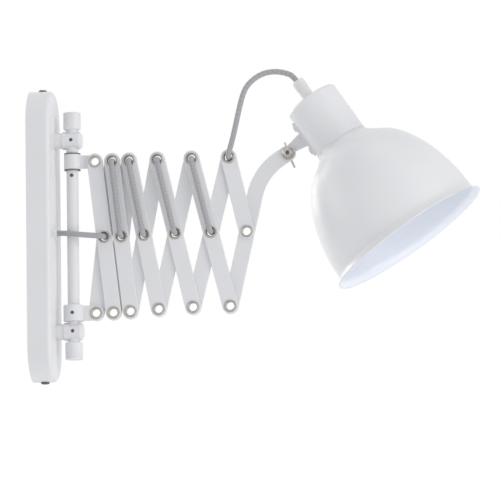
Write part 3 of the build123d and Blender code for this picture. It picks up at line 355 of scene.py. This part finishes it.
# The two cover screws, one in each end of the plate. Turned from steel, blackened, and driven into
# the strap's ears by a cross recess.
dark_steel = brushed_metal("dark_steel", (0.16, 0.16, 0.17), 0.4, 0.3)
give_finish(dark_steel, "cover_screws")


# The grommet. A bushing moulded in white plastic and clipped into the plate's face, with a rounded
# mouth that keeps the cable off the sheet's edge.
give_finish(white_plastic, "cord_grommet")


# The guide rod. A steel bar, powder coated like its turned brackets and caps. A grub screw in each
# bracket holds it, the caps have two fine grooves, and two spring rings of blackened steel hold the
# upper sleeve at its height.
give_finish(enamel, "rod_brackets", "guide_rod", "rod_caps")
give_finish(dark_steel, "rod_grub_screws", "snap_rings")


# The sleeves. Turned from steel, each with a flat tab, and powder coated. The upper one turns between
# its rings, and the lower one slides as the arm opens, braked by a small grub screw.
give_finish(enamel, "upper_sleeve", "lower_sleeve")
give_finish(dark_steel, "drag_screw")


# The scissor links. Flat bars, 17 by 3 mm, punched, deburred and powder coated, in a front and a
# rear layer, and the long rear one that is bent over to the head.
give_finish(enamel, *(f"front_link_{cell}" for cell in range(1, 6)), "front_half_link")
give_finish(enamel, *(f"rear_link_{cell}" for cell in range(1, 6)), "curved_arm")


# The eyelets. Hollow rivets of nickel plated brass. Each is pressed through both links and rolled
# over into a bead on either face.
nickel = brushed_metal("nickel", (0.50, 0.47, 0.43), 0.3, 0.15)
bore_radius = 0.0044
barrel_radius = 0.005
bead_radius = 0.0069
bead_height = 0.00085
outer_roll = 0.0008
inner_roll = 0.0014
eyelet_steps = 56
link_face = 0.00315
running_gap = 0.0001
same_place = 1e-6


def turn_outline(form, points, centre, axis, steps, closed=False):
    """Turn an outline all the way about an axis, and merge its start with its end."""
    corners = [form.verts.new(point) for point in points]
    following = corners[1:] + corners[:1] if closed else corners[1:]
    edges = [form.edges.new(pair) for pair in zip(corners, following)]
    bmesh.ops.spin(form, geom=corners + edges, cent=centre, axis=axis, angle=tau, steps=steps,
                   use_merge=True)
    bmesh.ops.remove_doubles(form, verts=form.verts, dist=same_place)


def round_edges(form, edges, size, segments):
    """Round edges of a form."""
    bmesh.ops.bevel(form, geom=edges, offset=size, segments=segments, profile=0.5, affect="EDGES",
                    material=-1)


def roll_over(form, centre, radius, height, roll, segments):
    """Round the two ring edges of a form about Y that lie at a radius and at a height each way."""
    edges = []
    for edge in form.edges:
        ends = [end.co - centre for end in edge.verts]
        on_radius = all(abs(hypot(end.x, end.z) - radius) < same_place for end in ends)
        if on_radius and all(abs(abs(end.y) - height) < 2 * running_gap for end in ends):
            edges.append(edge)
    round_edges(form, edges, roll, segments)


def rolled_eyelet(x, z, front, rear):
    """One eyelet: a barrel with a bead on each face, turned about Y."""
    form = bmesh.new()
    centre = Vector((x, 0, z))
    outline = [(bore_radius, -front - bead_height), (bead_radius, -front - bead_height),
               (bead_radius, -front), (barrel_radius, -front), (barrel_radius, rear),
               (bead_radius, rear), (bead_radius, rear + bead_height), (bore_radius, rear + bead_height)]
    points = [centre + Vector((radius, depth, 0)) for radius, depth in outline]
    turn_outline(form, points, centre, (0, 1, 0), eyelet_steps, closed=True)
    crest = link_face + bead_height
    roll_over(form, centre, bead_radius, crest, outer_roll, segments=4)
    roll_over(form, centre, bore_radius, crest, inner_roll, segments=6)
    bmesh.ops.recalc_face_normals(form, faces=form.faces)
    return form


def mesh_piece(name, forms, material):
    """Join forms into one smooth-shaded piece in the scene."""
    mesh = bpy.data.meshes.new(name)
    whole = bmesh.new()
    for form in forms:
        form.to_mesh(mesh)
        form.free()
        whole.from_mesh(mesh)
    whole.to_mesh(mesh)
    whole.free()
    mesh.materials.append(material)
    mesh.shade_smooth()
    made = put_in_scene(name, mesh)
    return made


def eyelets_of(node, body, places, front=link_face, rear=link_face):
    """The eyelets that one node holds."""
    forms = [rolled_eyelet(x, z, front, rear) for x, z in places]
    made = mesh_piece(f"rolled_{node}", forms, nickel)
    made.modifiers.new("crisp", "WEIGHTED_NORMAL")
    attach(made, body)
    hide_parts(node)


bottom_pivots = [(0.0701, -0.08493), (0.089005, -0.08494), (0.10762, -0.08403),
                 (0.13863, -0.08241), (0.17619, -0.08134), (0.21688, -0.08131)]
far_face = link_face + running_gap
for cell in range(5):
    eyelets_of(f"eyelets_{cell + 1}", f"front_{cell + 1}",
               (top_pivots[cell], middle_pivots[cell], bottom_pivots[cell + 1]), rear=far_face)
eyelets_of("eyelets_6", "front_6", (top_pivots[5], middle_pivots[5]), rear=far_face)
eyelets_of("lower_tab_eyelet", "rear_1", (bottom_pivots[0],), front=far_face)


# The lamp holder in the cup. A thermoplastic body with a ribbed ring that clamps the shade, and a
# brass shell with a rolled thread for the bulb, round a sprung centre contact.
give_finish(white_plastic, "lamp_holder", "shade_ring")

thread_radius = 0.0131
thread_depth = 0.00045
thread_pitch = 0.00363
thread_rows = 66
thread_steps = 96
shell_low = -0.064
shell_length = 0.022
shell_wall = 0.0003
thread_runout = 0.002
contact_low = -0.042
contact_high = -0.04
contact_tip_radius = 0.0032
contact_radius = 0.004
contact_round = 0.0008


def upright_cone(form, low_radius, high_radius, low, high, segments=48):
    """A capped cone or cylinder about Z between two heights."""
    bmesh.ops.create_cone(form, cap_ends=True, segments=segments, radius1=low_radius,
                          radius2=high_radius, depth=high - low,
                          matrix=Matrix.Translation((0, 0, (low + high) / 2)))


shell_form = bmesh.new()
shell_line = [(thread_radius, 0, shell_low + shell_length * row / thread_rows)
              for row in range(thread_rows + 1)]
turn_outline(shell_form, shell_line, (0, 0, 0), (0, 0, 1), thread_steps)
for corner in shell_form.verts:
    along = corner.co.z - shell_low
    fade = min(1.0, along / thread_runout, (shell_length - along) / thread_runout)
    turn = atan2(corner.co.y, corner.co.x) / tau
    grown = 1 + thread_depth * fade * cos(tau * (along / thread_pitch - turn)) / thread_radius
    corner.co.x *= grown
    corner.co.y *= grown
bmesh.ops.recalc_face_normals(shell_form, faces=shell_form.faces)
bmesh.ops.solidify(shell_form, geom=shell_form.faces[:], thickness=shell_wall)

contact_form = bmesh.new()
upright_cone(contact_form, contact_tip_radius, contact_radius, contact_low, contact_high)
lower_rim = [edge for edge in contact_form.edges
             if all(abs(end.co.z - contact_low) < same_place for end in edge.verts)]
round_edges(contact_form, lower_rim, contact_round, segments=4)
for form in (shell_form, contact_form):
    bmesh.ops.transform(form, matrix=head_place, verts=form.verts)
contacts = mesh_piece("screw_shell_and_contact", (shell_form, contact_form), brass)
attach(contacts, "head")
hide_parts("holder_contacts")


# The cup and the shade. Both are spun from steel sheet. The shade's bell runs out into a flared lip,
# and its inside is glossier, painted a lighter, bluish white for the cool light that falls into it.
give_finish(enamel, "socket_cup")
# Painted light: the inside's lighter, bluish white stands for cool light bounced into the shade.
inner_enamel_painted_cool_light = powder_coat("inner_enamel_painted_cool_light", (0.86, 0.89, 0.95), 0.35)

flange_bore_radius = 0.0202
cup_length = 0.058
bell_points = [(0.0303, -0.0614), (0.0379, -0.0678), (0.0553, -0.0808), (0.0700, -0.1026),
               (0.0802, -0.1298), (0.0856, -0.1575), (0.0869, -0.1780)]
bell_steps = 10
lip_radius = 0.00907
lip_turn = radians(69.5)
lip_steps = 10
shade_wall = 0.001
spin_steps = 144


def bell_line(points, steps):
    """A smooth line through the points."""
    curve = bpy.data.curves.new("bell", "CURVE")
    curve.dimensions = "3D"
    spline = curve.splines.new("BEZIER")
    spline.bezier_points.add(len(points) - 1)
    spline.resolution_u = steps
    for knot, (radius, height) in zip(spline.bezier_points, points):
        knot.co = (radius, 0, height)
        knot.handle_left_type = knot.handle_right_type = "AUTO"
    bare = bpy.data.objects.new("bell", curve)
    return [vertex.co.copy() for vertex in bpy.data.meshes.new_from_object(bare).vertices]


neck_radius = bell_points[0][0]
outline = [Vector((flange_bore_radius, 0, -cup_length)), Vector((neck_radius, 0, -cup_length))]
outline += bell_line(bell_points, bell_steps)
skirt_radius, skirt_end = bell_points[-1]
for step in range(1, lip_steps + 1):
    turn = lip_turn * step / lip_steps
    outline.append(Vector((skirt_radius + lip_radius * (1 - cos(turn)), 0,
                           skirt_end - lip_radius * sin(turn))))

shade_form = bmesh.new()
turn_outline(shade_form, outline, (0, 0, 0), (0, 0, 1), spin_steps)
bmesh.ops.recalc_face_normals(shade_form, faces=shade_form.faces)
# The open bell's faces come out pointing at its axis, so they are turned to point outwards.
bmesh.ops.reverse_faces(shade_form, faces=shade_form.faces)
bmesh.ops.transform(shade_form, matrix=head_place, verts=shade_form.verts)
shade_mesh = bpy.data.meshes.new("spun_shade")
shade_form.to_mesh(shade_mesh)
shade_form.free()
shade_mesh.materials.append(enamel)
shade_mesh.materials.append(inner_enamel_painted_cool_light)
shade = put_in_scene("spun_shade", shade_mesh)
walls = shade.modifiers.new("walls", "SOLIDIFY")
walls.thickness = shade_wall
walls.offset = -1.0
walls.material_offset = 1
shade_mesh.shade_smooth()
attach(shade, "head")
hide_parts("shade")


# The cable gland. A hexagon body and a cap nut, both moulded in white plastic. The body is screwed
# into the top of the cup, and the nut clamps the cable.
give_finish(white_plastic, "gland_body", "gland_nut")


# The head's bracket. A saddle foot on the cup with a tab out to the pivot, held by two round head
# screws, with their nuts inside the cup.
give_finish(enamel, "head_bracket", "bracket_screws")


# The head's pivot. A nickel plated socket screw goes through the arm and the bracket's tab, with thin
# washers on it, and is drawn tight by a cast wing nut behind.
give_finish(nickel, "pivot_washers")

screw_head_radius = 0.0062
screw_head_height = 0.0034
screw_head_seat = 0.00085
screw_crown_round = 0.0026
screw_end = -0.01565
screw_radius = 0.003
key_half_width = 0.002
key_depth = 0.0022
key_lead_in = 0.0007
screw_place = Matrix.Translation(head_pivot) @ Matrix.Rotation(radians(90), 4, "X")

head_form = bmesh.new()
upright_cone(head_form, screw_head_radius, screw_head_radius, screw_head_seat,
             screw_head_seat + screw_head_height)
crown = max(head_form.faces, key=lambda face: face.calc_center_median().z)
round_edges(head_form, crown.edges[:], screw_crown_round, segments=8)
crown = max(head_form.faces, key=lambda face: face.calc_center_median().z)
bmesh.ops.inset_region(head_form, faces=[crown], thickness=key_lead_in)
crown = max(head_form.faces, key=lambda face: (face.calc_center_median().z, -face.calc_area()))
for corner in crown.verts:
    from_flat = (atan2(corner.co.y, corner.co.x) + pi / 6) % (pi / 3) - pi / 6
    corner.co.xy = corner.co.xy.normalized() * key_half_width / cos(from_flat)
well = bmesh.ops.extrude_discrete_faces(head_form, faces=[crown])["faces"][0]
bmesh.ops.translate(head_form, verts=well.verts[:], vec=(0, 0, -key_depth))
# Painted shade: the key recess and the faces round it take the dark steel finish, dark as a deep recess
# in shade.
well.material_index = 1
for edge in well.edges:
    for face in edge.link_faces:
        face.material_index = 1
shank_form = bmesh.new()
upright_cone(shank_form, screw_radius, screw_radius, screw_end, screw_head_seat, segments=32)
for form in (head_form, shank_form):
    bmesh.ops.transform(form, matrix=screw_place, verts=form.verts)
pivot_screw = mesh_piece("socket_pivot_screw", (head_form, shank_form), nickel)
pivot_screw.data.materials.append(dark_steel)
pivot_screw.modifiers.new("crisp", "WEIGHTED_NORMAL")
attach(pivot_screw, "arm")
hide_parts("pivot_screw")

wing_seat = 0.00765
wing_turn = radians(69.0)
hub_height = 0.006
hub_foot_radius = 0.0054
hub_top_radius = 0.0046
hub_round = 0.0006
wing_half_thickness = 0.0009
wing_edge_round = 0.0004
wing_outline = [(0.002, 0.0012), (0.0102, 0.0016), (0.0148, 0.0048), (0.0146, 0.0114), (0.0095, 0.0104),
                (0.0066, 0.0062), (0.002, 0.0058)]
wing_place = (Matrix.Translation(head_pivot) @ Matrix.Rotation(wing_turn, 4, "Y")
              @ Matrix.Rotation(radians(-90), 4, "X") @ Matrix.Translation((0, 0, wing_seat)))

hub_form = bmesh.new()
upright_cone(hub_form, hub_foot_radius, hub_top_radius, 0, hub_height)
hub_rims = [edge for edge in hub_form.edges
            if abs(edge.verts[0].co.z - edge.verts[1].co.z) < same_place]
round_edges(hub_form, hub_rims, hub_round, segments=3)
wing_curve = line_curve("NURBS", [(out, rise, 0) for out, rise in wing_outline])
wing_curve.dimensions = "2D"
wing_curve.fill_mode = "BOTH"
wing_curve.splines[0].order_u = 3
wing_curve.splines[0].use_cyclic_u = True
wing_curve.splines[0].resolution_u = 6
wing_curve.extrude = wing_half_thickness - wing_edge_round
wing_curve.bevel_depth = wing_edge_round
wing_curve.bevel_resolution = 2
wing_mesh = bpy.data.meshes.new_from_object(bpy.data.objects.new("wing", wing_curve))
forms = [hub_form]
for half_turn in (0, pi):
    wing_form = bmesh.new()
    wing_form.from_mesh(wing_mesh)
    upright = Matrix.Rotation(half_turn, 4, "Z") @ Matrix.Rotation(radians(90), 4, "X")
    bmesh.ops.transform(wing_form, matrix=upright, verts=wing_form.verts)
    bmesh.ops.remove_doubles(wing_form, verts=wing_form.verts, dist=same_place)
    bmesh.ops.recalc_face_normals(wing_form, faces=wing_form.faces)
    forms.append(wing_form)
for form in forms:
    bmesh.ops.transform(form, matrix=wing_place, verts=form.verts)
wing_nut = mesh_piece("cast_wing_nut", forms, nickel)
wing_nut.modifiers.new("crisp", "WEIGHTED_NORMAL")
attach(wing_nut, "wing")
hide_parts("wing_nut")


# The studio. A pale floor a metre below the lamp and a white surround. Soft boxes stand at the right,
# at the left, behind for the rim, low down to reach into the shade, and overhead.
lamp_middle = Vector((0.24, 0, 0))
floor_height = -0.95
floor_radius = 4.0
floor_form = bmesh.new()
bmesh.ops.create_circle(floor_form, cap_ends=True, segments=96, radius=floor_radius,
                        matrix=Matrix.Translation((lamp_middle.x, 0, floor_height)))
floor_mesh = bpy.data.meshes.new("floor")
floor_form.to_mesh(floor_mesh)
floor_form.free()
floor = put_in_scene("floor", floor_mesh)
floor_finish, floor_tree, floor_shader = new_finish("floor")
plug(floor_tree, floor_shader, {"Base Color": (0.93, 0.93, 0.93, 1.0), "Roughness": 0.9})
floor_mesh.materials.append(floor_finish)

world = bpy.data.worlds.new("surround")
scene.world = world
world.use_nodes = True
sky = world.node_tree
sky.nodes.clear()
rays = shader_node(sky, "LightPath")
seen = maths(sky, "MAXIMUM", rays["Is Camera Ray"],
             maths(sky, "MAXIMUM", rays["Is Glossy Ray"], rays["Is Transmission Ray"]))
soft = shader_node(sky, "Background", {"Color": (0.96, 0.97, 1.0, 1.0), "Strength": 0.63})[0]
white = shader_node(sky, "Background", {"Color": (1.0, 1.0, 1.0, 1.0), "Strength": 1.0})[0]
both = shader_node(sky, "MixShader", {0: seen, 1: soft, 2: white})[0]
out = sky.nodes.new("ShaderNodeOutputWorld")
sky.links.new(both, out.inputs[0])


def soft_light(name, place, size, power):
    """A square soft box that faces the lamp."""
    data = bpy.data.lights.new(name, "AREA")
    data.size = size
    data.energy = power
    light = put_in_scene(name, data)
    light.visible_camera = False
    light.location = place
    light.rotation_euler = (lamp_middle - Vector(place)).to_track_quat("-Z", "Y").to_euler()


soft_light("right_light", (2.1, -1.0, 0.8), 1.2, 11.0)
soft_light("left_light", (-1.8, -0.35, 0.4), 1.0, 7.0)
soft_light("rim_light", (-1.2, 1.0, 0.5), 1.0, 13.0)
soft_light("low_light", (1.3, -0.7, -0.85), 0.8, 6.5)
soft_light("top_light", (0.3, -0.5, 2.0), 1.2, 5.0)

scene.view_settings.view_transform = "Standard"
